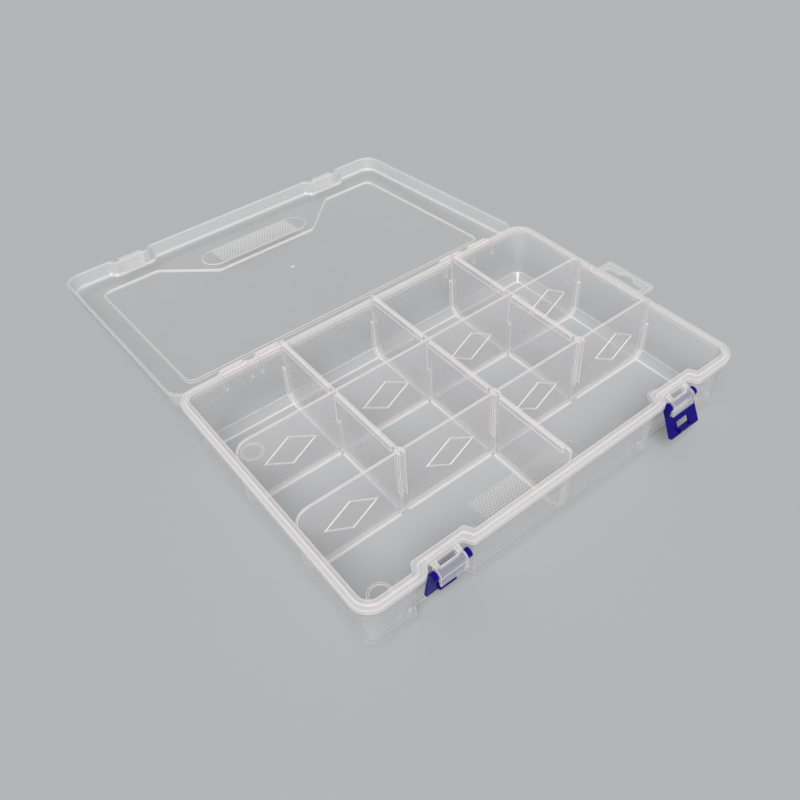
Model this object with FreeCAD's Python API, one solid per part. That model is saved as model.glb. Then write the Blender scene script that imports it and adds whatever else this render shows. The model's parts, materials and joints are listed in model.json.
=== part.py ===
import FreeCAD, Part
import math
import os

# Compartment storage box: moulded tray with loose dividers, snap-hinged lid and two latches.
# Millimetres. Origin at the centre of the tray's underside, +Z up, latches towards -Y,
# hinge towards +Y, hang tab towards +X. Pieces are stored as photographed: lid laid open.

V = FreeCAD.Vector
os.makedirs("parts", exist_ok=True)

# Compartment grid
PITCH_X = 71.5            # cross divider to cross divider
PITCH_Y = 62.5            # long divider to long divider
DIVIDER_T = 1.5
DIVIDER_H = 53.0
DIVIDER_PROUD = 8.2       # divider tops above the tray's rim
DIVIDER_PLAY = 0.3        # each side of a divider in its channel, and at its ends
DIVIDER_SEAT = 0.15       # divider foot above the floor, and at its laps
LONG_CORNER = 8.0
CROSS_CORNER = 2.5

# Divider details
DIAMOND_HALF_X = 18.3
DIAMOND_HALF_Z = 12.0
DIAMOND_BAND = 0.9
EMBOSS = 0.35
STRIP_H = 4.5
STRIP_T = 1.2
STRIP_DROP = 0.6          # strip below the divider's top edge
STRIP_SHORT = 5.0         # strip stops this far from a junction ahead of it
STRIP_NEAR = 2.4          # and starts this far behind one
GUIDE_FOOT = 15.15        # foot of the guide ribs above the divider's foot
GUIDE_POINT = 4.0
GUIDE_PROUD = 1.8
GUIDE_DROP = 0.4          # rib tops below the divider's top edge

# Tray shell
FLOOR_T = 1.2
WALL_T = 1.6
WALL_LEAN = 0.9           # wall leans in this much from the rim to the base slope
RIM_HALF_X = 145.0        # lid edge; the tray's rim runs a little past it
RIM_HALF_Y = 98.0
RIM_R = 12.5
RIM_PAST = 0.7            # tray rim past the lid's edge
RIM_DEPTH = 4.0           # rim top to the foot of its hanging lip
LEDGE_DROP = 1.0          # lid seat below the rim top
LAND_OUT = 2.4            # outer edge of the raised land, in from the rim edge
LAND_IN = 5.0             # inner edge of the raised land
LIP_T = 1.4
RIM_PLATE_T = 1.5
BASE_CHAMFER = 6.0        # height and depth of the sloping base edge
CUT_OVER = 1.0            # cutting bodies run past the faces they cut

# Latch recesses in the front wall
RECESS_END = 54.0         # recess middle, in from the rim's end
RECESS_SIDE = 2.9         # clear of the latch on each side, at the mouth
RECESS_TAPER = 3.0        # each side leans in this much to the back
RECESS_DEEP = 5.5
RECESS_R_MOUTH = 4.0      # at the rim edge, sharper further in
RECESS_R_INNER = 1.0
RECESS_R_BACK = 2.0       # wider round the foot, where the base slope turns the corner

# Divider channels
RIB_T = 1.2
RIB_PROUD = 2.0
RIB_DROP = 15.0           # wall ribs stop this far below the rim
RAIL_T = 0.8
RAIL_H = 1.0
RAIL_EASE = 0.3           # floor rails are this much wider apart than the wall ribs
RAIL_END = 3.2            # rails stop this far from a crossing line

# Floor rings and finger pads
RING_IN_X = 28.5          # ring middle, in from the rim's edges
RING_IN_Y = 30.0
RING_R = 7.5
RING_BAND = 1.3
RING_H = 0.5
PAD_LONG = 94.0
PAD_WIDE = 24.0
PAD_DEEP = 0.5
TRAY_PAD_IN = 34.0        # tray pad's middle, in from the front rim edge

# Hang tab
SLOT_GAP = 2.0            # rim edge to the slot
SLOT_WIDE = 5.5
SLOT_HALF = 16.0
SLOT_BUMP = 3.2           # middle bump, out from the slot's outer edge
SLOT_BUMP_HALF = 3.2
SLOT_R_IN = 1.0
SLOT_R_OUT = 2.6
SLOT_R_BUMP = 1.5
TAB_EDGE = 3.3            # tab outside the bump
TAB_SIDE = 4.0            # tab beyond the slot's ends
TAB_T = 2.0
TAB_R = 1.6
TAB_CLEAR = 2.0           # land cut away beyond the tab's ends

# Lid
LID_CLEAR = 1.2           # divider tops to the lid's inside
LID_DRAFT = 1.2           # skirt leans in this much up to its rounded edge
LID_EDGE_R = 3.0
SKIRT_PLAY = 0.6          # skirt to the tray's raised land
PANEL_T = 1.6
PANEL_RAISE = 0.8
PANEL_IN_X = 19.0         # edge of the raised middle, in from the rim's edges
PANEL_IN_Y = 23.0
PANEL_R = 6.0
PANEL_STEP = 0.6          # inside of the raised middle, in from its outside
GRIP_DEEP = 36.5          # grip zone, in from the front of the raised middle; 45 degree sides
GRIP_NARROW = 43.0        # half width at its inner end
LID_PAD_MARGIN = 9.0      # inner end of the grip zone to the pad
CATCH_HALF = 9.0
CATCH_DROP = 1.1          # catch top below the lid's top
CATCH_LIFT = 0.3          # catch foot above the lid seat
CATCH_GAP = 0.6           # catch to the latch plate
GATE_R = 1.6
GATE_H = 0.6

# Hinge
HINGE_OUT = 2.5           # axis out from the rim edge
HINGE_DROP = 4.0          # axis below the rim top
PIN_R = 1.5
PIN_PLAY = 0.08
PIN_EDGE = 0.5            # rib past the pin
HOOK_T = 1.42
HOOK_GAP = 100.0          # snap opening of the lid's hooks, degrees
HOOK_END_PLAY = 0.4
HOOK_RELIEF = 0.3
HOOK_RISE = 8.0           # arm top above the axis
HINGE_RIBS_IN = (77.0, 58.0, 50.5, 32.0)    # rib middles, in from the rim's end
HINGE_RIB_T = 1.6
HINGE_RIB_FALL = 8.5      # rib foot below the axis
LID_OPEN = 185.2          # lid angle from closed, degrees

# Latches and their brackets
PIVOT_DROP = 8.0          # bar axis below the rim top
BAR_R = 2.0
BAR_PLAY = 0.06
LATCH_HALF = 12.8
LATCH_FLARE = 0.5         # plate's free end wider than the ears, each side
ARM_T = 3.0
EAR_R = 2.8
EAR_CLEAR = 2.2           # ear to the back of the recess
PLATE_T = 1.8
PLATE_OFFSET = 1.0        # plate's inner face in front of the axis when closed
PLATE_R = 1.2
PLATE_OVER = 1.2          # plate past the hook
HOOK_CLEAR = 0.3          # hook above the catch
HOOK_H = 2.6
HOOK_REACH = 2.4
WINDOW_HALF = 5.5         # window, and the hook along its upper edge
WINDOW_H = 5.4
PLATE_FOOT = 4.2          # plate below the window
BRACKET_PLAY = 0.6        # bracket to the latch arms
CRADLE_T = 1.8
BRACKET_T = 2.0
BRACKET_WINDOW_HALF = 6.0
BRACKET_EDGE = 0.6        # bracket top at its outer edge past the axis
LIP_FALL = 6.2            # bracket lip below the axis
LATCH_OPEN_LEFT = 188.3   # latch angles from closed, degrees
LATCH_OPEN_RIGHT = 155.5

# Derived levels, from the floor up
DIVIDER_FOOT = FLOOR_T + DIVIDER_SEAT
DIVIDER_TOP = FLOOR_T + DIVIDER_H
LAP_Z = (DIVIDER_FOOT + DIVIDER_TOP) / 2
RIM_Z = DIVIDER_TOP - DIVIDER_PROUD
LEDGE_Z = RIM_Z - LEDGE_DROP
RIB_TOP = RIM_Z - RIB_DROP
LID_TOP = DIVIDER_TOP + LID_CLEAR + PANEL_T
LID_SIDE_TOP = LID_TOP - LID_EDGE_R
HINGE_Z = RIM_Z - HINGE_DROP
PIVOT_Z = RIM_Z - PIVOT_DROP
CATCH_TOP = LID_TOP - CATCH_DROP

# Derived insets and places
WALL_TOP_OUT = LAND_IN - WALL_T
WALL_LOW_OUT = WALL_TOP_OUT + WALL_LEAN
BASE_INSET = WALL_LOW_OUT + BASE_CHAMFER
WALL_LOW_IN = WALL_LOW_OUT + WALL_T
FLOOR_IN = BASE_INSET - FLOOR_T + WALL_T * math.sqrt(2)
KNEE_Z = FLOOR_T + FLOOR_IN - WALL_LOW_IN
SLOT_W = DIVIDER_T + 2 * DIVIDER_PLAY
RECESS_X = RIM_HALF_X - RECESS_END
RECESS_HALF = LATCH_HALF + RECESS_SIDE
RECESS_Y = RIM_HALF_Y - RECESS_DEEP
SKIRT_T = LAND_OUT - SKIRT_PLAY
PANEL_HALF_X = RIM_HALF_X - PANEL_IN_X
PANEL_HALF_Y = RIM_HALF_Y - PANEL_IN_Y
GRIP_Y = GRIP_DEEP - PANEL_HALF_Y
GRIP_WIDE = GRIP_NARROW + GRIP_DEEP
LID_PAD_Y = GRIP_Y - LID_PAD_MARGIN - PAD_WIDE / 2
HINGE_Y = RIM_HALF_Y + HINGE_OUT
HINGE_RIBS = [RIM_HALF_X - d for d in HINGE_RIBS_IN]
HOOK_R = PIN_R + PIN_PLAY + HOOK_T
PIVOT_Y = -(RECESS_Y + EAR_R + EAR_CLEAR)
CRADLE_R = BAR_R + CRADLE_T
CATCH_Y = PIVOT_Y - PLATE_OFFSET + CATCH_GAP
HOOK_LOW = CATCH_TOP + HOOK_CLEAR
PLATE_TOP = HOOK_LOW + HOOK_H + PLATE_OVER
WINDOW_LOW = HOOK_LOW - WINDOW_H
PLATE_LOW = WINDOW_LOW - PLATE_FOOT


def rounded(points, radii, z=0.0):
    """Closed wire at height z through the points, each corner rounded by its radius."""
    n = len(points)
    corners = []
    for i in range(n):
        p = V(points[i][0], points[i][1], z)
        if radii[i] == 0:
            corners.append((p, None, p))
            continue
        before = points[i - 1]
        after = points[(i + 1) % n]
        a = (V(before[0], before[1], z) - p).normalize()
        b = (V(after[0], after[1], z) - p).normalize()
        half = a.getAngle(b) / 2
        run = radii[i] / math.tan(half)
        inward = (a + b).normalize()
        mid = p + inward * (radii[i] / math.sin(half) - radii[i])
        corners.append((p + a * run, mid, p + b * run))
    edges = []
    for i in range(n):
        start, mid, end = corners[i]
        if mid is not None:
            edges.append(Part.Arc(start, mid, end).toShape())
        edges.append(Part.makeLine(end, corners[(i + 1) % n][0]))
    return Part.Wire(edges)


def prism(wire, height):
    return Part.Face(wire).extrude(V(0, 0, height))


def upright_x(points, radii, thick, y=0.0):
    """Plate standing in the XZ plane, centred on y."""
    body = prism(rounded(points, radii), thick)
    body.translate(V(0, 0, -thick / 2))
    body.rotate(V(0, 0, 0), V(1, 0, 0), 90)
    body.translate(V(0, y, 0))
    return body


def upright_y(points, radii, thick, x=0.0):
    """Plate standing in the YZ plane, centred on x."""
    body = prism(rounded(points, radii), thick)
    body.translate(V(0, 0, -thick / 2))
    body.rotate(V(0, 0, 0), V(1, 1, 1), 120)
    body.translate(V(x, 0, 0))
    return body


def block(x0, x1, y0, y1, z0, z1):
    return Part.makeBox(x1 - x0, y1 - y0, z1 - z0, V(x0, y0, z0))


def rod(radius, x0, x1, y, z):
    return Part.makeCylinder(radius, x1 - x0, V(x0, y, z), V(1, 0, 0))


def outline(inset, z):
    """Plan of tray and lid at an inset from the lid's edge, with the two latch recesses."""
    x = RIM_HALF_X - inset
    y = RIM_HALF_Y - inset
    back = RECESS_Y - inset
    mouth = RECESS_HALF + inset
    deep = mouth - RECESS_TAPER
    corner = max(RIM_R - inset, 1.0)
    lead = max(RECESS_R_MOUTH - inset * (RECESS_R_MOUTH - RECESS_R_INNER) / LAND_IN, RECESS_R_INNER)
    turn = RECESS_R_BACK + max(inset - LAND_IN, 0.0)
    points = [(x, y), (-x, y), (-x, -y)]
    radii = [corner, corner, corner]
    for centre in (-RECESS_X, RECESS_X):
        points += [(centre - mouth, -y), (centre - deep, -back)]
        points += [(centre + deep, -back), (centre + mouth, -y)]
        radii += [lead, turn, turn, lead]
    points.append((x, -y))
    radii.append(corner)
    return rounded(points, radii, z)


def shell(levels):
    """Solid through (height, inset) levels of the outline."""
    return Part.makeLoft([outline(inset, z) for z, inset in levels], True, True)


def wall_inset(z):
    """Inset of the tray's inside wall face at a height above the base slope."""
    return WALL_LOW_IN + (LAND_IN - WALL_LOW_IN) * (z - KNEE_Z) / (RIM_Z - KNEE_Z)


def stadium(y, z, height):
    half = PAD_LONG / 2
    r = PAD_WIDE / 2
    points = [(half, y + r), (-half, y + r), (-half, y - r), (half, y - r)]
    return prism(rounded(points, [r - 0.01] * 4, z), height)


def channel_profile(half):
    """Section of a wall rib: outward distance and height, following wall and base slope."""
    root = math.sqrt(2)
    bite = WALL_T / 2
    low = FLOOR_T / 2
    floor = half - FLOOR_IN
    knee = half - WALL_LOW_IN
    top = half - wall_inset(RIB_TOP)
    return [
        (floor - RIB_PROUD * root, low),
        (floor + bite * root - (FLOOR_T - low), low),
        (knee + bite, KNEE_Z - bite * (root - 1)),
        (top + bite, RIB_TOP),
        (top - RIB_PROUD, RIB_TOP),
        (knee - RIB_PROUD, KNEE_Z + RIB_PROUD * (root - 1)),
        (floor - RIB_PROUD * root, FLOOR_T),
    ]


def divider_end(half):
    """End line of a divider beside the wall: foot corner, knee and top, outward distances."""
    slope = DIVIDER_PLAY * math.sqrt(2)
    knee = half - WALL_LOW_IN - DIVIDER_PLAY
    foot = half - FLOOR_IN - slope + DIVIDER_SEAT
    knee_z = DIVIDER_FOOT + knee - foot
    top = half - wall_inset(DIVIDER_TOP) - DIVIDER_PLAY
    return [(foot, DIVIDER_FOOT), (knee, knee_z), (top, DIVIDER_TOP)]


def mirrored(points):
    return [(-a, b) for a, b in reversed(points)]


# Tray: shell, rim, divider channels, floor details, hang tab, hinge ribs and latch brackets
tray_parts = [shell([(0, BASE_INSET), (BASE_CHAMFER, WALL_LOW_OUT), (LEDGE_Z, WALL_TOP_OUT)])]
rim = prism(outline(-RIM_PAST, RIM_Z - RIM_DEPTH), RIM_DEPTH - LEDGE_DROP)
hollow_h = RIM_DEPTH - LEDGE_DROP - RIM_PLATE_T
rim = rim.cut(prism(outline(LIP_T - RIM_PAST, RIM_Z - RIM_DEPTH), hollow_h))
tray_parts.append(rim)
tray_parts.append(prism(outline(LAND_OUT, LEDGE_Z - RIM_PLATE_T), RIM_PLATE_T + LEDGE_DROP))
tray = tray_parts[0].fuse(tray_parts[1:])
cavity = shell([
    (FLOOR_T, FLOOR_IN),
    (KNEE_Z, WALL_LOW_IN),
    (RIM_Z + CUT_OVER, wall_inset(RIM_Z + CUT_OVER)),
])
tray = tray.cut(cavity)

additions = []
offset = (SLOT_W + RIB_T) / 2
ends = channel_profile(RIM_HALF_X)
flats = [0] * len(ends)
sides = channel_profile(RIM_HALF_Y)
for side in (-1, 1):
    for y in (-PITCH_Y / 2, PITCH_Y / 2):
        rib = upright_x(ends, flats, RIB_T, y + side * offset)
        additions.append(rib)
        additions.append(rib.mirror(V(0, 0, 0), V(1, 0, 0)))
    for x in (-PITCH_X, 0, PITCH_X):
        additions.append(upright_y(sides, flats, RIB_T, x + side * offset))
    front = upright_y(sides, flats, RIB_T, side * offset)
    additions.append(front.mirror(V(0, 0, 0), V(0, 1, 0)))

rail_z0 = FLOOR_T / 2
rail_z1 = FLOOR_T + RAIL_H
floor_x = RIM_HALF_X - FLOOR_IN - RAIL_END
floor_y = RIM_HALF_Y - FLOOR_IN - RAIL_END
rail_off = (SLOT_W + RAIL_EASE) / 2
columns = [-floor_x - RAIL_END, -PITCH_X, 0, PITCH_X, floor_x + RAIL_END]
for side in (-1, 1):
    inner = side * rail_off
    outer = side * (rail_off + RAIL_T)
    low, high = min(inner, outer), max(inner, outer)
    for y in (-PITCH_Y / 2, PITCH_Y / 2):
        for i in range(4):
            x0 = columns[i] + RAIL_END
            x1 = columns[i + 1] - RAIL_END
            additions.append(block(x0, x1, y + low, y + high, rail_z0, rail_z1))
    for x in (-PITCH_X, 0, PITCH_X):
        y0 = PITCH_Y / 2 + RAIL_END
        additions.append(block(x + low, x + high, y0, floor_y, rail_z0, rail_z1))
        y1 = PITCH_Y / 2 - RAIL_END
        additions.append(block(x + low, x + high, -y1, y1, rail_z0, rail_z1))
    y1 = -PITCH_Y / 2 - RAIL_END
    additions.append(block(low, high, -floor_y, y1, rail_z0, rail_z1))

ring_x = RIM_HALF_X - RING_IN_X
ring_y = RIM_HALF_Y - RING_IN_Y
for x in (-ring_x, ring_x):
    for y in (-ring_y, ring_y):
        disc = Part.makeCylinder(RING_R, rail_z0 + RING_H, V(x, y, rail_z0))
        eye = Part.makeCylinder(RING_R - RING_BAND, rail_z0 + RING_H, V(x, y, rail_z0))
        additions.append(disc.cut(eye))

slot_in = RIM_HALF_X + SLOT_GAP
slot_out = slot_in + SLOT_WIDE
bump_out = slot_out + SLOT_BUMP
bump_half = SLOT_BUMP_HALF + SLOT_BUMP
tab_in = RIM_HALF_X - LIP_T
tab_out = bump_out + TAB_EDGE
tab_half = SLOT_HALF + TAB_SIDE
tab_plan = [(tab_in, -tab_half), (tab_out, -tab_half), (tab_out, tab_half), (tab_in, tab_half)]
tab = prism(rounded(tab_plan, [0, TAB_R, TAB_R, 0], LEDGE_Z - TAB_T), TAB_T)
slot_plan = [
    (slot_in, -SLOT_HALF),
    (slot_out, -SLOT_HALF),
    (slot_out, -bump_half),
    (bump_out, -SLOT_BUMP_HALF),
    (bump_out, SLOT_BUMP_HALF),
    (slot_out, bump_half),
    (slot_out, SLOT_HALF),
    (slot_in, SLOT_HALF),
]
slot_r = [SLOT_R_IN, SLOT_R_OUT, SLOT_R_BUMP, SLOT_R_BUMP, SLOT_R_BUMP, SLOT_R_BUMP, SLOT_R_OUT, SLOT_R_IN]
hang_slot = prism(rounded(slot_plan, slot_r, LEDGE_Z - 2 * TAB_T), 3 * TAB_T)
additions.append(tab.cut(hang_slot))

rib_back = RIM_HALF_Y - WALL_TOP_OUT - WALL_T / 2
rib_past = PIN_R + PIN_EDGE
hinge_rib = [
    (rib_back, HINGE_Z - HINGE_RIB_FALL),
    (HINGE_Y + rib_past, HINGE_Z - HINGE_RIB_FALL),
    (HINGE_Y + rib_past, HINGE_Z + rib_past),
    (rib_back, HINGE_Z + rib_past),
]
hinge_rib_r = [0, PIN_R, PIN_R, 0]
reliefs = []
for side in (-1, 1):
    for x in HINGE_RIBS:
        additions.append(upright_y(hinge_rib, hinge_rib_r, HINGE_RIB_T, side * x))
    for i in (0, 2):
        x0, x1 = sorted((side * HINGE_RIBS[i], side * HINGE_RIBS[i + 1]))
        additions.append(rod(PIN_R, x0, x1, HINGE_Y, HINGE_Z))
        y0 = HINGE_Y - HOOK_R - HOOK_RELIEF
        t = HINGE_RIB_T / 2
        z0 = RIM_Z - RIM_DEPTH - CUT_OVER
        reliefs.append(block(x0 + t, x1 - t, y0, RIM_HALF_Y + CUT_OVER, z0, RIM_Z))


def polar(radius, degrees):
    """Point about the latch pivot: 0 degrees points away from the box, 90 up."""
    a = math.radians(degrees)
    return (PIVOT_Y - radius * math.cos(a), PIVOT_Z + radius * math.sin(a))


def latch_bracket(x):
    """Snap bracket in a latch recess: windowed top plate, cradle for the bar and front lip."""
    wall = -(RECESS_Y - WALL_TOP_OUT - WALL_T / 2)
    edge = -RECESS_Y
    plate_low = RIM_Z - RIM_DEPTH - BRACKET_EDGE
    plate = [
        (wall, plate_low + BRACKET_T),
        (edge, plate_low + BRACKET_T),
        (PIVOT_Y, PIVOT_Z + CRADLE_R),
        (PIVOT_Y, PIVOT_Z + BAR_R),
        (edge, plate_low),
        (wall, plate_low),
    ]
    lip_out = PIVOT_Y - CRADLE_R
    lip = [
        (lip_out, PIVOT_Z),
        (lip_out - BRACKET_EDGE / 2, PIVOT_Z - LIP_FALL),
        (lip_out + BRACKET_EDGE * 2, PIVOT_Z - LIP_FALL - BRACKET_EDGE),
        (lip_out + CRADLE_T - BAR_PLAY, PIVOT_Z),
    ]
    half = LATCH_HALF - ARM_T - BRACKET_PLAY
    body = upright_y(plate, [0] * 6, 2 * half, x)
    ring = rod(CRADLE_R, x - half, x + half, PIVOT_Y, PIVOT_Z)
    body = body.fuse([ring, upright_y(lip, [0, 0.5, 0.5, 0], 2 * half, x)])
    far = 3 * CRADLE_R
    mouth = [(PIVOT_Y, PIVOT_Z), polar(far, 160), polar(far, 215), polar(far, 270), polar(far, 300)]
    snap = upright_y(mouth, [0] * 5, 2 * half + CUT_OVER, x)
    body = body.cut(snap.cut(upright_y(lip, [0] * 4, 2 * half, x)))
    x0 = x - BRACKET_WINDOW_HALF
    x1 = x + BRACKET_WINDOW_HALF
    window = block(x0, x1, PIVOT_Y + BRACKET_EDGE, edge - 1.5 * BRACKET_EDGE, PIVOT_Z, RIM_Z)
    body = body.cut(window)
    body = body.fuse(upright_y(plate, [0] * 6, 2 * half, x).cut(window))
    return body.cut(rod(BAR_R + BAR_PLAY, x - LATCH_HALF, x + LATCH_HALF, PIVOT_Y, PIVOT_Z))


for x in (-RECESS_X, RECESS_X):
    additions.append(latch_bracket(x))

tab_clear = tab_half + TAB_CLEAR
land_x = RIM_HALF_X - LAND_IN - CUT_OVER
reliefs.append(block(land_x, RIM_HALF_X, -tab_clear, tab_clear, LEDGE_Z, RIM_Z + CUT_OVER))
reliefs.append(stadium(TRAY_PAD_IN - RIM_HALF_Y, -PAD_DEEP, 2 * PAD_DEEP))
tray = tray.cut(reliefs).fuse(additions).removeSplitter()


# Lid, drawn closed and then laid open about the hinge
lid_levels = [(LEDGE_Z, 0), (LID_SIDE_TOP, LID_DRAFT)]
for degrees in (30, 60, 90):
    a = math.radians(degrees)
    rise = LID_EDGE_R * math.sin(a)
    lid_levels.append((LID_SIDE_TOP + rise, LID_DRAFT + LID_EDGE_R * (1 - math.cos(a))))
lid = shell(lid_levels)


def raised_panel(grow, z, height):
    """Raised middle of the lid, stepping round the grip zone at the front."""
    x = PANEL_HALF_X + grow
    y = PANEL_HALF_Y + grow
    slant = grow * math.tan(math.radians(22.5))
    points = [
        (x, y),
        (-x, y),
        (-x, -y),
        (-GRIP_WIDE + slant, -y),
        (-GRIP_NARROW + slant, GRIP_Y - grow),
        (GRIP_NARROW - slant, GRIP_Y - grow),
        (GRIP_WIDE - slant, -y),
        (x, -y),
    ]
    return prism(rounded(points, [PANEL_R] * 8, z), height)


lid = lid.fuse(raised_panel(0, LID_TOP - PANEL_T / 2, PANEL_T / 2 + PANEL_RAISE))
inside_top = LID_TOP - PANEL_T
skirt_in = LID_DRAFT + SKIRT_T
round_in = LID_EDGE_R - PANEL_T
lid_inside = shell([
    (LEDGE_Z - CUT_OVER, SKIRT_T - LID_DRAFT * CUT_OVER / (LID_SIDE_TOP - LEDGE_Z)),
    (inside_top - round_in - 0.4, skirt_in),
    (inside_top - 0.3 * round_in, skirt_in + 0.5 * round_in),
    (inside_top, skirt_in + 1.3 * round_in),
])
panel_inside = raised_panel(-PANEL_STEP, inside_top - CUT_OVER / 2, CUT_OVER / 2 + PANEL_RAISE)
lid = lid.cut([lid_inside, panel_inside])
lid = lid.cut(stadium(LID_PAD_Y, LID_TOP - PAD_DEEP, 2 * PAD_DEEP))

lid_additions = []
for x in (-RECESS_X, RECESS_X):
    catch_low = LEDGE_Z + CATCH_LIFT
    catch = [
        (CATCH_Y, catch_low),
        (CATCH_Y, CATCH_TOP),
        (-RECESS_Y + LID_DRAFT + LID_EDGE_R, CATCH_TOP),
        (-RECESS_Y + LID_DRAFT + SKIRT_T / 2, CATCH_TOP - PANEL_T / 2),
        (-RECESS_Y + SKIRT_T / 2, catch_low),
    ]
    lid_additions.append(upright_y(catch, [0.6, 0.8, 0, 0, 0], 2 * CATCH_HALF, x))
gate_top = V(0, 0, inside_top + PANEL_RAISE + GATE_H / 3)
lid_additions.append(Part.makeCone(GATE_R, 0.7 * GATE_R, GATE_H, gate_top, V(0, 0, -1)))


def hinge_hook(x0, x1):
    """C-shaped snap hook round a tray pin, carried on an arm from the lid's back skirt."""
    root = RIM_HALF_Y - SKIRT_T / 2
    low = LEDGE_Z + HOOK_RELIEF
    near = 0.9 * HOOK_R
    arm = [
        (root, low),
        (HINGE_Y - near, low),
        (HINGE_Y - near, HINGE_Z + 0.4 * HOOK_R),
        (HINGE_Y, HINGE_Z),
        (HINGE_Y + 0.8 * HOOK_R, HINGE_Z + 0.6 * HOOK_R),
        (HINGE_Y - 0.7 * HOOK_R, HINGE_Z + HOOK_RISE),
        (root, HINGE_Z + HOOK_RISE),
    ]
    width = x1 - x0
    middle = (x0 + x1) / 2
    body = upright_y(arm, [0, 0, 0, 0, 0, 0.8, 0], width, middle)
    body = body.fuse(rod(HOOK_R, x0, x1, HINGE_Y, HINGE_Z))
    spread = math.tan(math.radians(HOOK_GAP / 2)) * 2 * HOOK_R
    gap = [
        (HINGE_Y, HINGE_Z),
        (HINGE_Y - spread, HINGE_Z - 2 * HOOK_R),
        (HINGE_Y + spread, HINGE_Z - 2 * HOOK_R),
    ]
    body = body.cut(upright_y(gap, [0, 0, 0], width + CUT_OVER, middle))
    return body.cut(rod(PIN_R + PIN_PLAY, x0 - CUT_OVER, x1 + CUT_OVER, HINGE_Y, HINGE_Z))


for side in (-1, 1):
    for i in (0, 2):
        x0, x1 = sorted((side * HINGE_RIBS[i], side * HINGE_RIBS[i + 1]))
        trim = HINGE_RIB_T / 2 + HOOK_END_PLAY
        lid_additions.append(hinge_hook(x0 + trim, x1 - trim))
lid = lid.fuse(lid_additions).removeSplitter()
lid.rotate(V(0, HINGE_Y, HINGE_Z), V(1, 0, 0), -LID_OPEN)


# Latches, drawn closed and then swung open about their bars
def latch(x, angle):
    inner = PIVOT_Y - PLATE_OFFSET
    outer = inner - PLATE_T
    plate_plan = [
        (-LATCH_HALF, PLATE_LOW),
        (LATCH_HALF, PLATE_LOW),
        (LATCH_HALF + LATCH_FLARE, PLATE_TOP),
        (-LATCH_HALF - LATCH_FLARE, PLATE_TOP),
    ]
    body = upright_x(plate_plan, [0, 0, PLATE_R, PLATE_R], PLATE_T, (inner + outer) / 2)
    window = [
        (-WINDOW_HALF, WINDOW_LOW),
        (WINDOW_HALF, WINDOW_LOW),
        (WINDOW_HALF, HOOK_LOW),
        (-WINDOW_HALF, HOOK_LOW),
    ]
    body = body.cut(upright_x(window, [PLATE_R / 2] * 4, 3 * PLATE_T, inner))
    root = outer + PLATE_T / 2
    hook = [
        (root, HOOK_LOW),
        (inner + HOOK_REACH, HOOK_LOW),
        (inner + HOOK_REACH, HOOK_LOW + 0.4 * HOOK_H),
        (inner, HOOK_LOW + 1.4 * HOOK_H),
        (root, HOOK_LOW + 1.4 * HOOK_H),
    ]
    pieces = [upright_y(hook, [0] * 5, 2 * WINDOW_HALF)]
    arm = [
        (PIVOT_Y + EAR_R - BAR_R / 10, PIVOT_Z),
        (PIVOT_Y - EAR_R + BAR_R / 10, PIVOT_Z),
        (outer, PLATE_LOW + PLATE_T),
        (inner, PLATE_LOW + PLATE_T),
        (inner, PLATE_LOW - BAR_R),
    ]
    for side in (-1, 1):
        middle = side * (LATCH_HALF - ARM_T / 2)
        pieces.append(upright_y(arm, [0] * 5, ARM_T, middle))
        pieces.append(rod(EAR_R, middle - ARM_T / 2, middle + ARM_T / 2, PIVOT_Y, PIVOT_Z))
    pieces.append(rod(BAR_R, -LATCH_HALF + 1, LATCH_HALF - 1, PIVOT_Y, PIVOT_Z))
    body = body.fuse(pieces).removeSplitter()
    body.translate(V(x, 0, 0))
    body.rotate(V(x, PIVOT_Y, PIVOT_Z), V(1, 0, 0), angle)
    return body


# Dividers
def diamond(x, face_y):
    """Raised diamond line on the front face of a long divider."""
    z = (DIVIDER_FOOT + DIVIDER_TOP) / 2
    shapes = []
    for cut_in in (0.0, DIAMOND_BAND):
        hx = DIAMOND_HALF_X - cut_in * DIAMOND_HALF_X / DIAMOND_HALF_Z
        hz = DIAMOND_HALF_Z - cut_in
        points = [(x - hx, z), (x, z - hz), (x + hx, z), (x, z + hz)]
        shapes.append(upright_x(points, [0] * 4, 2 * EMBOSS, face_y))
    return shapes[0].cut(shapes[1])


def long_divider(y):
    end = divider_end(RIM_HALF_X)
    points = end + mirrored(end)
    radii = [0, 0, LONG_CORNER, LONG_CORNER, 0, 0]
    body = upright_x(points, radii, DIVIDER_T, y)
    end_bay = (PITCH_X + RIM_HALF_X - LAND_OUT) / 2
    bays = (-end_bay, -PITCH_X / 2, PITCH_X / 2, end_bay)
    marks = [diamond(x, y - DIVIDER_T / 2) for x in bays]
    return body.fuse(marks)


def lapped_long_divider(y):
    """Long divider with slots from its top edge for the cross dividers."""
    body = long_divider(y)
    slots = []
    for x in (-PITCH_X, 0, PITCH_X):
        z0 = LAP_Z - DIVIDER_SEAT / 2
        x0 = x - SLOT_W / 2
        x1 = x + SLOT_W / 2
        slots.append(block(x0, x1, y - DIVIDER_T, y + DIVIDER_T, z0, DIVIDER_TOP + CUT_OVER))
    return body.cut(slots).removeSplitter()


def guided_long_divider(y):
    """Long divider with guide rib pairs on both faces at the cross divider places."""
    body = long_divider(y)
    guides = []
    low = DIVIDER_FOOT + GUIDE_FOOT
    top = DIVIDER_TOP - GUIDE_DROP
    for x in (-PITCH_X, 0, PITCH_X):
        for side in (-1, 1):
            a = x + side * SLOT_W / 2
            b = x + side * (SLOT_W / 2 + RIB_T)
            points = [
                (a, low + GUIDE_POINT),
                ((a + b) / 2, low),
                (b, low + GUIDE_POINT),
                (b, top),
                (a, top),
            ]
            thick = DIVIDER_T + 2 * GUIDE_PROUD
            guides.append(upright_x(points, [0] * 5, thick, y))
    return body.fuse(guides).removeSplitter()


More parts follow.
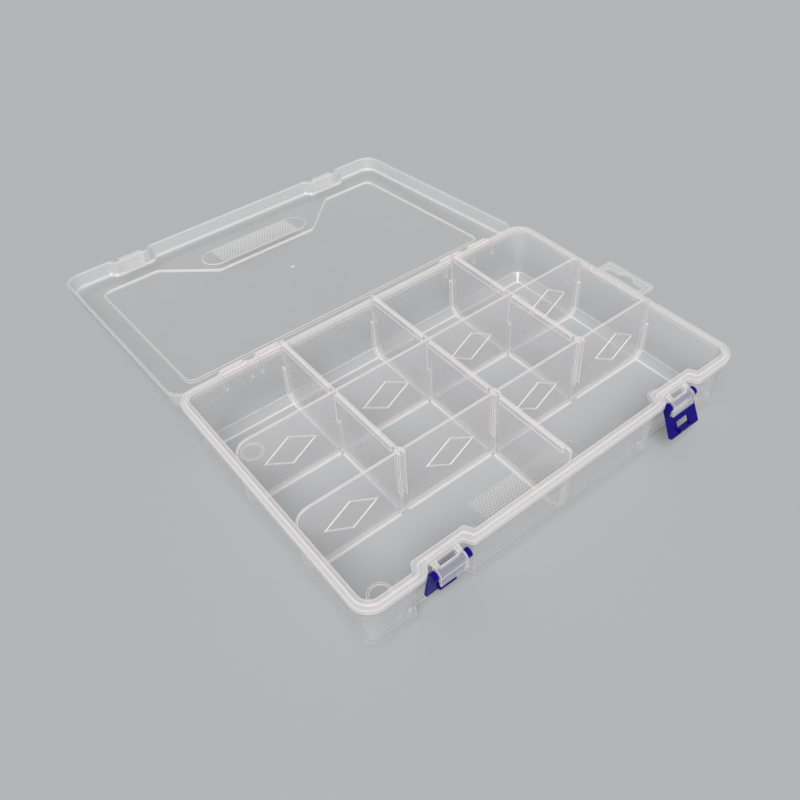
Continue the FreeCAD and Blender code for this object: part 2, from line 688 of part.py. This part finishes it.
def strip(x, y0, y1):
    top = DIVIDER_TOP - STRIP_DROP
    face = x - DIVIDER_T / 2
    return block(face - STRIP_T, face + DIVIDER_T / 2, y0, y1, top - STRIP_H, top)


def cross_divider(x):
    """Divider across the two rear rows, half-lapped over the rear long divider."""
    end = divider_end(RIM_HALF_Y)
    line = PITCH_Y / 2
    front = -line + DIVIDER_T / 2 + DIVIDER_SEAT
    points = end + [(front, DIVIDER_TOP), (front, DIVIDER_FOOT)]
    body = upright_y(points, [0, 0, CROSS_CORNER, CROSS_CORNER, 0], DIVIDER_T, x)
    slot_top = LAP_Z + DIVIDER_SEAT / 2
    slot = block(x - DIVIDER_T, x + DIVIDER_T, line - SLOT_W / 2, line + SLOT_W / 2, 0, slot_top)
    rear = strip(x, line + STRIP_SHORT, end[2][0] - STRIP_SHORT)
    fore = strip(x, front + STRIP_SHORT, line - STRIP_NEAR)
    return body.cut(slot).fuse([rear, fore]).removeSplitter()


def short_divider():
    """Divider from the front long divider to the front wall."""
    end = mirrored(divider_end(RIM_HALF_Y))
    back = -PITCH_Y / 2 - DIVIDER_T / 2 - DIVIDER_SEAT
    points = end + [(back, DIVIDER_FOOT), (back, DIVIDER_TOP)]
    body = upright_y(points, [CROSS_CORNER, 0, 0, 0, CROSS_CORNER], DIVIDER_T)
    fore = strip(0, end[0][0] + STRIP_SHORT, back - STRIP_NEAR - GUIDE_PROUD)
    return body.fuse(fore).removeSplitter()


pieces = {
    "tray": tray,
    "lid": lid,
    "latch_left": latch(-RECESS_X, LATCH_OPEN_LEFT),
    "latch_right": latch(RECESS_X, LATCH_OPEN_RIGHT),
    "long_divider_rear": lapped_long_divider(PITCH_Y / 2),
    "long_divider_front": guided_long_divider(-PITCH_Y / 2),
    "cross_divider_left": cross_divider(-PITCH_X),
    "cross_divider_middle": cross_divider(0),
    "cross_divider_right": cross_divider(PITCH_X),
    "short_divider": short_divider(),
}
for name, shape in pieces.items():
    shape.exportStep("parts/" + name + ".step")
    box = shape.BoundBox
    print(name, len(shape.Solids), shape.isValid(), round(shape.Volume / 1000, 2), "cm3",
          [round(v, 2) for v in (box.XMin, box.XMax, box.YMin, box.YMax, box.ZMin, box.ZMax)])
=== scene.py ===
import json
import math
import bmesh
import bpy
from mathutils import Euler, Matrix, Vector


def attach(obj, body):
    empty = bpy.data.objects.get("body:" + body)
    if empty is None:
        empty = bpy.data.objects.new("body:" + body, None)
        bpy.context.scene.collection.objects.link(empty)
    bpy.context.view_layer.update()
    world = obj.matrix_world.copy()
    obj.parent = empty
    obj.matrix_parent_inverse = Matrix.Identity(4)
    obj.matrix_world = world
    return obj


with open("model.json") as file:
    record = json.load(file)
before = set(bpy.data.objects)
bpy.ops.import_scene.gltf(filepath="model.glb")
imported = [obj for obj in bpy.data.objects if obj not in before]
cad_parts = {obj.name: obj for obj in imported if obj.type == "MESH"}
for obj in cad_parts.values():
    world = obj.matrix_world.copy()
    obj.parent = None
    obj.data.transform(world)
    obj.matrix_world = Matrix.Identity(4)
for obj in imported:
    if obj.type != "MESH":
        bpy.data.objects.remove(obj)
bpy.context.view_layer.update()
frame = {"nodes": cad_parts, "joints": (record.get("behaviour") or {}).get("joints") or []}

# Tray. One thin-walled injection moulding in natural polypropylene: clear enough to see
# through, milky where a wall is seen on edge, and nearly solid white where rim, hinge ribs and
# latch brackets are folded from several thicknesses.
tray_pad_y = -0.064


class Plastic:
    """New material with an empty tree, and short ways to add nodes, sums and ramps to it."""

    def __init__(self, name):
        self.material = bpy.data.materials.new(name)
        self.material.use_nodes = True
        self.tree = self.material.node_tree
        self.tree.nodes.clear()
        coords = self.add("ShaderNodeTexCoord")
        self.place = coords.outputs["Object"]
        self.normal = coords.outputs["Normal"]

    def add(self, kind, **inputs):
        node = self.tree.nodes.new(kind)
        for key, value in inputs.items():
            node.inputs[key.replace("_", " ")].default_value = value
        return node

    def link(self, source, socket):
        self.tree.links.new(source, socket)

    def show(self, shader):
        output = self.add("ShaderNodeOutputMaterial")
        self.link(shader.outputs[0], output.inputs["Surface"])

    def sums(self, operation, *terms, clamp=False):
        node = self.add("ShaderNodeMath")
        node.operation = operation
        node.use_clamp = clamp
        for socket, term in zip(node.inputs, terms):
            if isinstance(term, (int, float)):
                socket.default_value = term
            else:
                self.link(term, socket)
        return node.outputs[0]

    def axes(self, vector):
        node = self.add("ShaderNodeSeparateXYZ")
        self.link(vector, node.inputs[0])
        return node.outputs["X"], node.outputs["Y"], node.outputs["Z"]

    def upright(self):
        """1 on an upright face, 0 on a level one."""
        up = self.axes(self.normal)[2]
        return self.sums("SUBTRACT", 1.0, self.sums("ABSOLUTE", up), clamp=True)

    def distance(self, value, middle):
        """How far a coordinate is from its middle, to either side."""
        return self.sums("ABSOLUTE", self.sums("SUBTRACT", value, middle))

    def ramp(self, value, start, end, low=0.0, high=1.0):
        """low as far as start, then evenly to high at end."""
        node = self.add("ShaderNodeMapRange", From_Min=start, From_Max=end, To_Min=low, To_Max=high)
        self.link(value, node.inputs["Value"])
        return node.outputs[0]

    def noise(self, vector, scale, detail, roughness=0.5):
        node = self.add("ShaderNodeTexNoise", Scale=scale, Detail=detail, Roughness=roughness)
        self.link(vector, node.inputs["Vector"])
        return node.outputs["Fac"]

    def colours(self, share, first, second):
        """One colour turning into another as share goes from 0 to 1."""
        node = self.add("ShaderNodeMix")
        node.data_type = "RGBA"
        self.link(share, node.inputs["Factor"])
        for key, colour in (("A", first), ("B", second)):
            if isinstance(colour, tuple):
                node.inputs[key].default_value = (*colour, 1.0)
            else:
                self.link(colour, node.inputs[key])
        return node.outputs["Result"]

    def relief(self, shader, height, strength, depth):
        bump = self.add("ShaderNodeBump", Strength=strength, Distance=depth)
        self.link(height, bump.inputs["Height"])
        self.link(bump.outputs[0], shader.inputs["Normal"])


def corner_mask(plastic, radius):
    """1 along every moulded corner, fading to 0 on the flats."""
    gain = 11.0
    rounded = plastic.add("ShaderNodeBevel", Radius=radius)
    rounded.samples = 6
    face = plastic.add("ShaderNodeNewGeometry")
    agree = plastic.add("ShaderNodeVectorMath")
    agree.operation = "DOT_PRODUCT"
    plastic.link(rounded.outputs[0], agree.inputs[0])
    plastic.link(face.outputs["Normal"], agree.inputs[1])
    turned = plastic.sums("SUBTRACT", 1.0, agree.outputs["Value"])
    return plastic.sums("MULTIPLY", turned, gain, clamp=True)


def frosted_plastic(name, level_haze, upright_haze, glow_and_thick_haze, thick_and_highlight_zone=None, faint_zone=None,
                    bend_highlight=0.0, edge_radius=0.0010):
    """Natural polypropylene: milky wall, painted highlight along the corners, uneven flow and fine
    handling marks.
    """
    wall_colour, white_colour = (0.90, 0.89, 0.90), (0.97, 0.92, 0.905)
    slant_haze = 0.35
    gloss_head_on, gloss_at_slant = 0.05, 0.9
    roughness, rub_roughness = 0.24, 0.08
    plastic = Plastic(name)
    sums = plastic.sums
    shell = plastic.add("ShaderNodeBsdfPrincipled", IOR=1.49)
    skin = plastic.add("ShaderNodeBsdfAnisotropic", Roughness=0.22)
    coat = plastic.add("ShaderNodeMixShader")
    plastic.link(shell.outputs[0], coat.inputs[1])
    plastic.link(skin.outputs[0], coat.inputs[2])
    plastic.show(coat)

    # White where the wall thickens, and a painted highlight where it turns at a corner or bend.
    white = corner_mask(plastic, edge_radius)
    if faint_zone:
        white = sums("MULTIPLY", white, faint_zone(plastic))
    if thick_and_highlight_zone:
        white = sums("MAXIMUM", white, thick_and_highlight_zone(plastic))
    upright = plastic.upright()
    # Painted highlight along the rounded bend between level and upright faces.
    if bend_highlight:
        bend = sums("MULTIPLY", plastic.ramp(upright, 0.03, 0.15), plastic.ramp(upright, 0.75, 0.50))
        white = sums("MAXIMUM", white, sums("MULTIPLY", bend, bend_highlight))

    # Milky elsewhere, clouded by the flow in the mould and denser at a slant.
    flow = plastic.noise(plastic.place, 26.0, 3.0, 0.55)
    base = sums("MULTIPLY_ADD", upright, upright_haze - level_haze, level_haze)
    cloud = sums("MULTIPLY", base, sums("MULTIPLY_ADD", flow, 0.6, 0.7))
    slant = plastic.add("ShaderNodeLayerWeight", Blend=0.5).outputs["Facing"]
    glance = sums("MULTIPLY", sums("POWER", slant, 4.0), slant_haze)
    opacity = sums("MULTIPLY_ADD", white, glow_and_thick_haze, sums("ADD", cloud, glance), clamp=True)
    plastic.link(opacity, shell.inputs["Alpha"])
    plastic.link(plastic.colours(white, wall_colour, white_colour), shell.inputs["Base Color"])

    # Glossy on its outer side, with slanting rub marks and a fine grain.
    shine = sums("MULTIPLY_ADD", sums("POWER", slant, 5.0), gloss_at_slant, gloss_head_on)
    inner = plastic.add("ShaderNodeNewGeometry").outputs["Backfacing"]
    plastic.link(sums("MULTIPLY", shine, sums("SUBTRACT", 1.0, inner)), coat.inputs[0])
    stretch = plastic.add("ShaderNodeMapping", Scale=(150.0, 420.0, 420.0), Rotation=(0.0, 0.0, 0.6))
    plastic.link(plastic.place, stretch.inputs["Vector"])
    rubs = plastic.noise(stretch.outputs[0], 1.0, 4.0, 0.7)
    plastic.link(sums("MULTIPLY_ADD", rubs, rub_roughness, roughness), shell.inputs["Roughness"])
    grain = plastic.noise(plastic.place, 1800.0, 2.0)
    plastic.relief(shell, grain, 0.12, 0.00006)
    return plastic.material


def thick_parts_and_highlight_lines(plastic):
    """Haze of rim, hinge ribs and latch brackets, and painted highlight lines along the base edge
    and the recesses' foot.
    """
    rim_foot, rim_haze = 0.0410, 0.28
    tab_root, tab_share = 0.1455, 0.15
    rib_face, rib_haze = 0.0947, 0.42
    bracket_face, bracket_haze = -0.0947, 0.08
    recess_y, recess_z = -0.0882, 0.006
    sums = plastic.sums
    x, y, z = plastic.axes(plastic.place)
    rim = plastic.ramp(z, rim_foot, rim_foot + 0.0010, high=rim_haze)
    ribs = plastic.ramp(y, rib_face, rib_face + 0.0003, high=rib_haze)
    brackets = plastic.ramp(y, bracket_face, bracket_face - 0.0003, high=bracket_haze)
    clear_tab = plastic.ramp(x, tab_root, tab_root + 0.0010, low=1.0, high=tab_share)
    outside = sums("MAXIMUM", ribs, brackets)
    folded = sums("MULTIPLY", sums("MAXIMUM", rim, outside), clear_tab)
    # Painted highlight lines along the lowest millimetre of the walls and along the foot of the
    # latch recesses.
    foot = plastic.ramp(z, 0.0012, 0.0003)
    base_edge_highlight = sums("MULTIPLY", foot, sums("MULTIPLY", plastic.upright(), 2.4, clamp=True))
    from_edge = sums("MAXIMUM", plastic.distance(z, recess_z), plastic.distance(y, recess_y))
    recess_foot_highlight = plastic.ramp(from_edge, 0.0010, 0.0004)
    return sums("MAXIMUM", folded, sums("MAXIMUM", base_edge_highlight, recess_foot_highlight))


def faint_dish(plastic):
    """Low along the rounded edge of the shallow dish under the floor, 1 elsewhere."""
    y, z = plastic.axes(plastic.place)[1:]
    under = plastic.ramp(z, 0.0009, 0.0007)
    beside = plastic.ramp(plastic.distance(y, tray_pad_y), 0.0145, 0.0138, high=0.85)
    return plastic.sums("SUBTRACT", 1.0, plastic.sums("MULTIPLY", under, beside))


def dress(node, material):
    for slot in frame["nodes"][node].material_slots:
        slot.link = "OBJECT"
        slot.material = material


# The tray's corners, the foot of its walls and the foot of its latch recesses carry painted
# highlight lines.
tray_plastic = frosted_plastic("tray_plastic", level_haze=0.12, upright_haze=0.20, glow_and_thick_haze=0.75,
                               thick_and_highlight_zone=thick_parts_and_highlight_lines, faint_zone=faint_dish)
dress("tray", tray_plastic)

# Finger pad of the tray. Rows of low stubs moulded into the shallow dish under the floor, at the
# front, so that the box doesn't slip in the hand; their tops are clear, the ground is etched.
knurl_ground = 0.00010
knurl_top = 0.00042
knurl_sink = 0.00002


def knurl_mesh(name, half_long, half_wide, pitch):
    """Honeycomb of six-sided stubs on a thin ground, its flat side at z = 0."""
    cell = pitch / math.sqrt(3)
    step = 1.5 * cell
    outlines = ((cell, knurl_ground), (0.43 * pitch, knurl_ground), (0.35 * pitch, knurl_top))
    angles = [math.radians(60 * k + 30) for k in range(6)]
    columns = int(2 * half_long / pitch)
    rows = int(2 * half_wide / step)
    web = bmesh.new()
    for row in range(rows):
        shift = 0.25 if row % 2 else -0.25
        for column in range(columns):
            x = (column - (columns - 1) / 2 + shift) * pitch
            y = (row - (rows - 1) / 2) * step
            rings = []
            for radius, z in outlines:
                corners = [(x + radius * math.cos(a), y + radius * math.sin(a), z) for a in angles]
                rings.append([web.verts.new(corner) for corner in corners])
            for outer, inner in zip(rings, rings[1:]):
                for k in range(6):
                    n = (k + 1) % 6
                    web.faces.new((outer[k], outer[n], inner[n], inner[k]))
            web.faces.new(rings[-1])
    bmesh.ops.remove_doubles(web, verts=web.verts, dist=1e-6)
    border = [edge for edge in web.edges if edge.is_boundary]
    skirt = bmesh.ops.extrude_edge_only(web, edges=border)["geom"]
    for part in skirt:
        if isinstance(part, bmesh.types.BMVert):
            part.co.z = -knurl_sink
    bmesh.ops.holes_fill(web, edges=[edge for edge in web.edges if edge.is_boundary], sides=0)
    bmesh.ops.recalc_face_normals(web, faces=web.faces)
    mesh = bpy.data.meshes.new(name)
    web.to_mesh(mesh)
    web.free()
    return mesh


def knurl_plastic(name, etching):
    """The same plastic, etched dull between the stubs."""
    clear_colour, etched_colour = (0.80, 0.83, 0.84), (0.93, 0.92, 0.90)
    clear_haze, speck_haze = 0.04, 0.25
    plastic = Plastic(name)
    sums = plastic.sums
    shell = plastic.add("ShaderNodeBsdfPrincipled", IOR=1.49)
    plastic.show(shell)
    off_ground = plastic.distance(plastic.axes(plastic.place)[2], knurl_ground)
    etched = sums("SUBTRACT", 1.0, sums("MULTIPLY", off_ground, 12000.0), clamp=True)
    speck = plastic.noise(plastic.place, 1500.0, 3.0)
    uneven = sums("MULTIPLY_ADD", speck, speck_haze, etching)
    plastic.link(sums("MULTIPLY_ADD", etched, uneven, clear_haze), shell.inputs["Alpha"])
    plastic.link(sums("MULTIPLY_ADD", speck, 0.4, 0.25), shell.inputs["Roughness"])
    plastic.link(plastic.colours(etched, clear_colour, etched_colour), shell.inputs["Base Color"])
    plastic.relief(shell, speck, 0.25, 0.00008)
    return plastic.material


def knurl_pad(name, body, where, half_long, half_wide, pitch, etching):
    pad = bpy.data.objects.new(name, knurl_mesh(name, half_long, half_wide, pitch))
    bpy.context.scene.collection.objects.link(pad)
    pad.matrix_world = where
    pad.data.materials.append(knurl_plastic(name + "_plastic", etching))
    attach(pad, body)


dish_depth = 0.0005
under_floor = Matrix.Translation((0.0, tray_pad_y, dish_depth)) @ Matrix.Rotation(math.pi, 4, "X")
knurl_pad("tray_finger_pad", "tray", under_floor,
          half_long=0.040, half_wide=0.012, pitch=0.0023, etching=0.60)

# Dividers. Flat mouldings of the same plastic, a little thicker and milkier than the tray, which
# drop into wall ribs and lap over each other; two long ones, three across and a short one.
# The dividers' corners carry a painted highlight.
divider_plastic = frosted_plastic("divider_plastic", level_haze=0.35, upright_haze=0.23,
                                  glow_and_thick_haze=0.85, edge_radius=0.0009)
for node in ("long_divider_rear", "long_divider_front", "cross_divider_left",
             "cross_divider_middle", "cross_divider_right", "short_divider"):
    dress(node, divider_plastic)

# Lid. One moulding with a raised middle, clearer than the tray, hooked on the tray's hinge pins
# and laid open behind it; a second knurled pad sits in the dish of its grip zone.
joints = {joint["name"]: joint for joint in frame["joints"]}
latch_x = joints["latch_right_hinge"]["pos_m"][0]


def catch_blocks(plastic):
    """Haze of the two solid catches on the lid's edge, where the latches hook on."""
    catch_face, catch_haze = 0.2922, 0.35
    x, y = plastic.axes(plastic.place)[:2]
    past_edge = plastic.ramp(y, catch_face, catch_face + 0.0006, high=catch_haze)
    off_middle = plastic.distance(plastic.sums("ABSOLUTE", x), latch_x)
    return plastic.sums("MULTIPLY", past_edge, plastic.ramp(off_middle, 0.0098, 0.0092))


# The lid's corners and rounded bend carry painted highlights.
lid_plastic = frosted_plastic("lid_plastic", level_haze=0.07, upright_haze=0.22, glow_and_thick_haze=0.85,
                              thick_and_highlight_zone=catch_blocks, bend_highlight=0.35)
dress("lid", lid_plastic)
hinge_line = Vector(joints["lid_hinge"]["pos_m"])
laid_open = math.radians(joints["lid_hinge"]["range_deg"][1])
turn_over = (Matrix.Translation(hinge_line) @ Matrix.Rotation(-laid_open, 4, "X")
             @ Matrix.Translation(-hinge_line))
when_closed = Matrix.Translation((0.0, -0.0595, 0.0565))
knurl_pad("lid_finger_pad", "lid", turn_over @ when_closed,
          half_long=0.035, half_wide=0.012, pitch=0.0025, etching=0.65)

# Latches. Two small solid mouldings in indigo-blue plastic, snapped by their bars into the
# brackets of the front wall; satin skin, paler in patches along every corner.


def blue_plastic(name):
    """Indigo plastic with faint swirls, paler in patches along its corners."""
    deep, bright, pale_patch_colour = (0.004, 0.001, 0.165), (0.009, 0.002, 0.225), (0.050, 0.035, 0.330)
    plastic = Plastic(name)
    sums = plastic.sums
    skin = plastic.add("ShaderNodeBsdfPrincipled", IOR=1.5, Specular_IOR_Level=0.12)
    plastic.show(skin)
    swirl = plastic.noise(plastic.place, 160.0, 4.0, 0.6)
    scuff = plastic.noise(plastic.place, 900.0, 5.0, 0.75)
    pale_corners = sums("MULTIPLY", corner_mask(plastic, 0.0005), sums("MULTIPLY", scuff, 0.55))
    tone = plastic.colours(swirl, deep, bright)
    plastic.link(plastic.colours(pale_corners, tone, pale_patch_colour), skin.inputs["Base Color"])
    plastic.link(sums("MULTIPLY_ADD", scuff, 0.3, 0.2), skin.inputs["Roughness"])
    plastic.relief(skin, scuff, 0.15, 0.00005)
    return plastic.material


latch_plastic = blue_plastic("latch_plastic")
for node in ("latch_left", "latch_right"):
    dress(node, latch_plastic)

# Table and light. A plain pale table, wide enough to run out of sight, under one big soft lamp
# in front on the left, with even light from all round.
table_size, table_drop = 60.0, 0.0003
bpy.ops.mesh.primitive_plane_add(size=table_size, location=(0.0, 0.0, -table_drop))
table = bpy.context.object
table.name = "table"
pale = bpy.data.materials.new("table_pale")
pale.use_nodes = True
table_top = pale.node_tree.nodes["Principled BSDF"]
table_top.inputs["Base Color"].default_value = (0.45, 0.465, 0.47, 1.0)
table_top.inputs["Roughness"].default_value = 0.8
table.data.materials.append(pale)

world = bpy.data.worlds.new("room")
bpy.context.scene.world = world
world.use_nodes = True
room_light = world.node_tree.nodes["Background"]
room_light.inputs["Color"].default_value = (1.0, 1.0, 1.0, 1.0)
room_light.inputs["Strength"].default_value = 0.40

key = bpy.data.objects.new("key", bpy.data.lights.new("key", "SUN"))
key.data.angle = math.radians(32)
key.data.energy = 2.3
key.location = (-0.65, -0.70, 1.30)
lit_spot = Vector((0.0, 0.05, 0.0))
key.rotation_euler = (lit_spot - key.location).to_track_quat("-Z", "Y").to_euler()
bpy.context.scene.collection.objects.link(key)

# Camera. It stands where the photograph was taken from, in front on the left, and looks down at
# the open box.
tilt, roll, heading = 47.5347, 1.4951, -39.2069
turn = Euler([math.radians(angle) for angle in (tilt, roll, heading)]).to_matrix().to_4x4()
camera = bpy.data.objects.new("camera", bpy.data.cameras.new("camera"))
camera.matrix_world = Matrix.Translation((-0.248574, -0.288588, 0.403888)) @ turn
camera.data.sensor_width = 36.0
camera.data.lens = 38.072
camera.data.shift_x = -0.0362
camera.data.shift_y = -0.0463
camera.data.clip_start = 0.01
bpy.context.scene.collection.objects.link(camera)
bpy.context.scene.camera = camera
bpy.context.scene.view_settings.view_transform = "Standard"
bpy.context.scene.cycles.transparent_max_bounces = 48
